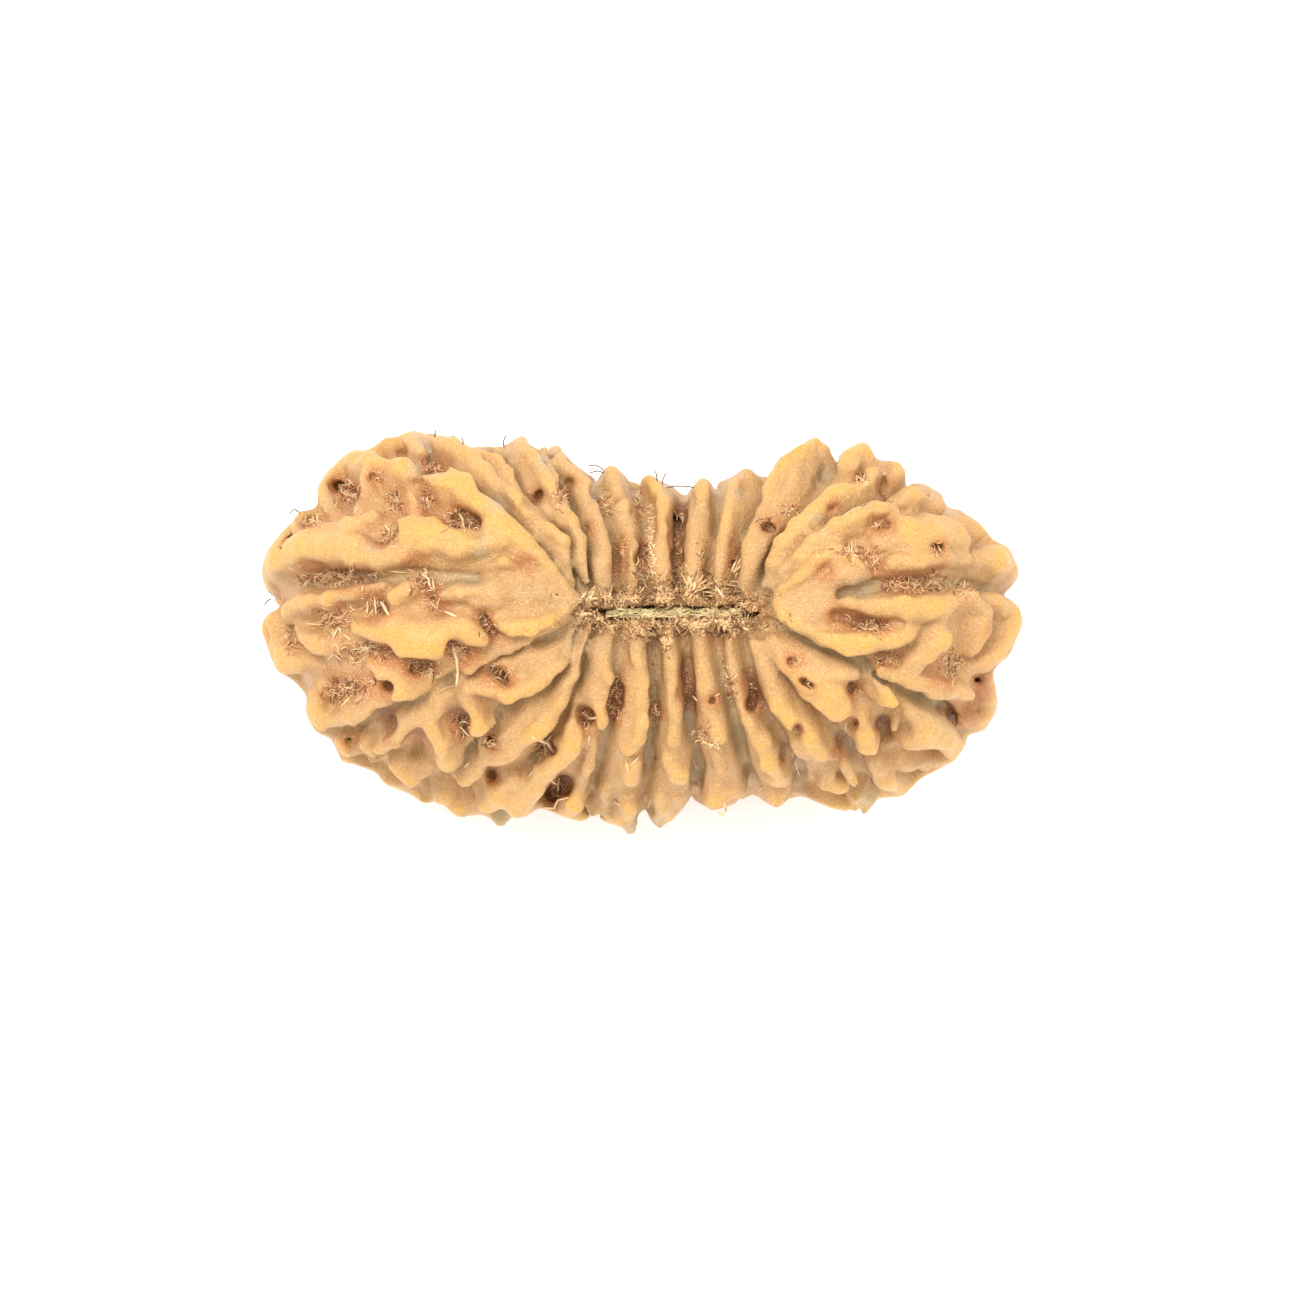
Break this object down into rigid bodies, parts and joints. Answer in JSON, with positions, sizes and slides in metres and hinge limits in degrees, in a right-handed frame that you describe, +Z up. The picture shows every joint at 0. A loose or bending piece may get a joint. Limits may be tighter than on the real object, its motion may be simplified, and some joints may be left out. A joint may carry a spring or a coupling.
{
  "type": "rudraksha seed",
  "caption": "Large two-lobed rudraksha stone with knobbly fibrous ribs fanning out from a long slit at its upper pole, and a dried strand lying in the slit.",
  "frame": {"origin": "middle of the stone's footprint, on the plane it rests on", "axes": "+Z up out of the slit of the upper pole, +X along the slit toward the shorter lobe, +Y across the slit"},
  "size_m": [0.0378, 0.0192, 0.0241],
  "materials": {
    "stone": "matte, fibrous, faint satin sheen on the rib crests",
    "strand": "matte dried plant fibre"
  },
  "bodies": {
    "root": {"seed_stone": "stone", "pith_strip": "strand"}
  },
  "joints": []
}
